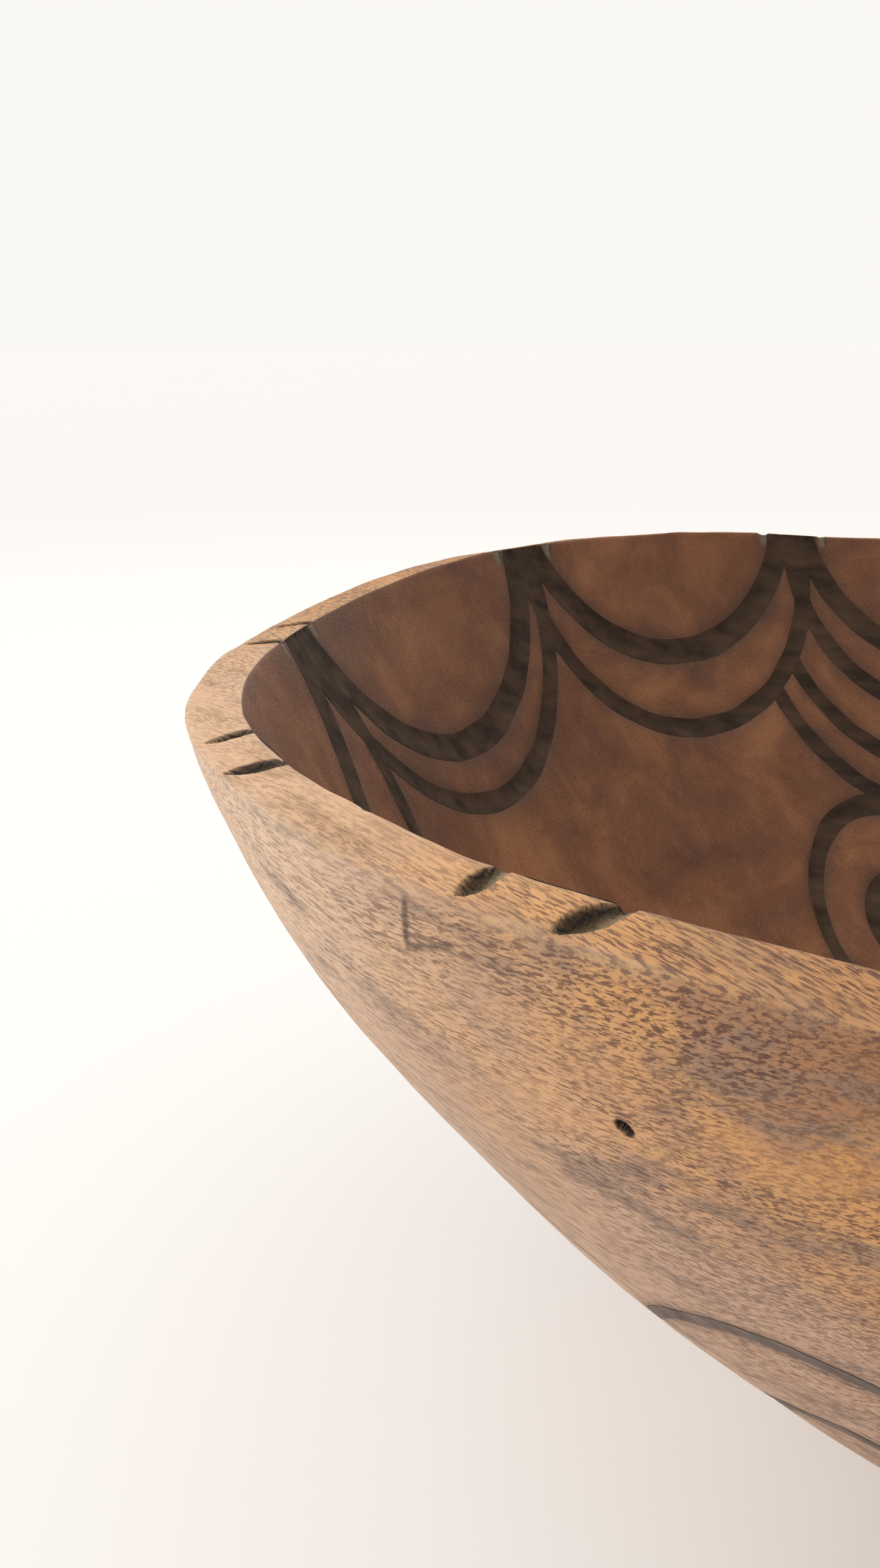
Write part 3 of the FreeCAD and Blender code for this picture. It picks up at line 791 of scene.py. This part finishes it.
def makeLineMaterial(name, dark, light, roughness):
    # scorched or faded line: uneven charring over open fibres reads as a dull, slightly broken dark line
    made, tree, shader = startMaterial(name)
    place = addNode(tree, "TexCoord").outputs["Object"]
    turned = addNode(tree, "Mapping", {"Vector": place, "Rotation": (0, 0, math.radians(60)),
                                       "Scale": (0.2, 1, 1)}).outputs[0]
    blotch = addNode(tree, "TexNoise", {"Vector": turned, "Scale": 300, "Detail": 5}).outputs["Fac"]
    char = addNode(tree, "TexNoise", {"Vector": place, "Scale": 1800, "Detail": 3}).outputs["Fac"]
    colour = addNode(tree, "ValToRGB", {"Fac": blotch}, stops=[
        (0.35, linear(dark)), (0.68, linear(light))]).outputs[0]
    tree.links.new(colour, shader.inputs["Base Color"])
    rough = addNode(tree, "MapRange", {"Value": char, "To Min": roughness - 0.1, "To Max": roughness + 0.1})
    tree.links.new(rough.outputs[0], shader.inputs["Roughness"])
    shader.inputs["Specular IOR Level"].default_value = 0.15
    bump = addNode(tree, "Bump", {"Height": char, "Strength": 0.15, "Distance": 0.0001}).outputs[0]
    tree.links.new(bump, shader.inputs["Normal"])
    return made


woodMaterial = makeWoodMaterial()
burntMaterial = makeLineMaterial("scorchedGroove", "#33251B", "#54402F", 0.6)
fadedMaterial = makeLineMaterial("fadedScorchedGroove", "#5C504B", "#7E6D64", 0.7)
for piece in woodPieces:
    piece.data.materials.append(woodMaterial)
    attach(piece, "root")
    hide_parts("bowl_body")
for piece, node, slotName in linePieces:
    piece.data.materials.append(burntMaterial if slotName == "burnt_line" else fadedMaterial)
    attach(piece, "root")
    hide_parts(node)
print("materials made")


studio = {
    "paper": "#D0CECB", "halfFloor": 30.0,
    "glow": 0.30, "glowNear": "#FFFFFF", "glowFar": "#DFDFDF", "glowFades": (0.5, 1.5),
    "dim": 0.35, "bright": 0.96, "brightWay": (-0.6, 0.65, 0.45), "overhead": 0.30,
    "sun": 0.7, "sunSpread": 60, "sunFrom": (-0.7, 0.1, 0.7),
}


def makeStage():
    made = bpy.data.meshes.new("floor")
    wide = studio["halfFloor"]
    corners = [(-wide, -wide, 0), (wide, -wide, 0), (wide, wide, 0), (-wide, wide, 0)]
    made.from_pydata(corners, [], [(0, 1, 2, 3)])
    floor = bpy.data.objects.new("floor", made)
    floor.location.z = cadLow.z
    bpy.context.scene.collection.objects.link(floor)
    paper, tree, shader = startMaterial("paleStudioPaper")
    shader.inputs["Base Color"].default_value = linear(studio["paper"])
    # lit a little from below, less so far off, where it has to meet the background without a line
    away = addNode(tree, "VectorMath", {0: addNode(tree, "TexCoord").outputs["Object"]}, operation="LENGTH")
    glowColour = blend(tree, fade(tree, away.outputs["Value"], *studio["glowFades"]),
                       linear(studio["glowNear"]), linear(studio["glowFar"]))
    tree.links.new(glowColour, shader.inputs["Emission Color"])
    shader.inputs["Emission Strength"].default_value = studio["glow"]
    shader.inputs["Roughness"].default_value = 0.9
    made.materials.append(paper)
    sky = bpy.data.worlds.new("studio")
    sky.use_nodes = True
    tree, background = sky.node_tree, sky.node_tree.nodes["Background"]
    # bright round the left and behind the bowl, dimmer towards the right front, brightest overhead
    way = addNode(tree, "TexCoord").outputs["Generated"]
    side = addNode(tree, "VectorMath", {0: way, 1: studio["brightWay"]},
                   operation="DOT_PRODUCT").outputs["Value"]
    up = addNode(tree, "SeparateXYZ", {0: way}).outputs["Z"]
    around = addNode(tree, "MapRange", {"Value": side, "From Min": -0.6, "From Max": 0.45,
                                        "To Min": studio["dim"], "To Max": studio["bright"]})
    overhead = addNode(tree, "MapRange", {"Value": up, "From Min": 0.3, "From Max": 0.9,
                                          "To Max": studio["overhead"]})
    power = addNode(tree, "Math", {0: around.outputs[0], 1: overhead.outputs[0]}, operation="ADD").outputs[0]
    background.inputs["Color"].default_value = linear("#FFFDFA")
    tree.links.new(power, background.inputs["Strength"])
    bpy.context.scene.world = sky
    lamp = bpy.data.lights.new("softSun", "SUN")
    lamp.energy, lamp.angle = studio["sun"], math.radians(studio["sunSpread"])
    sun = bpy.data.objects.new("softSun", lamp)
    sun.rotation_euler = Vector(studio["sunFrom"]).to_track_quat("Z", "Y").to_euler()
    bpy.context.scene.collection.objects.link(sun)


# the camera stands to the left and front of the axis and above the rim, in lip radii, and looks down
view = {"left": 0.817, "front": 1.511, "above": 0.295, "down": 15.7, "roll": 0.44,
        "lens": 36.36, "sensor": 36}


def makeCamera():
    lens = bpy.data.cameras.new("camera")
    lens.sensor_fit, lens.lens = "VERTICAL", view["lens"]
    lens.sensor_height = lens.sensor_width = view["sensor"]
    lens.clip_start, lens.clip_end = 0.01, 100
    camera = bpy.data.objects.new("camera", lens)
    rimMean = lipHeight - body["sag"]
    spot = Vector((-view["left"] * lipRadius, -view["front"] * lipRadius,
                   rimMean + view["above"] * lipRadius)) / 1000
    pitch = Matrix.Rotation(math.radians(90 - view["down"]), 4, "X")
    roll = Matrix.Rotation(math.radians(-view["roll"]), 4, "Z")
    camera.matrix_world = Matrix.Translation(spot) @ pitch @ roll
    bpy.context.scene.collection.objects.link(camera)
    bpy.context.scene.camera = camera


makeStage()
makeCamera()
bpy.context.scene.view_settings.view_transform = "Standard"
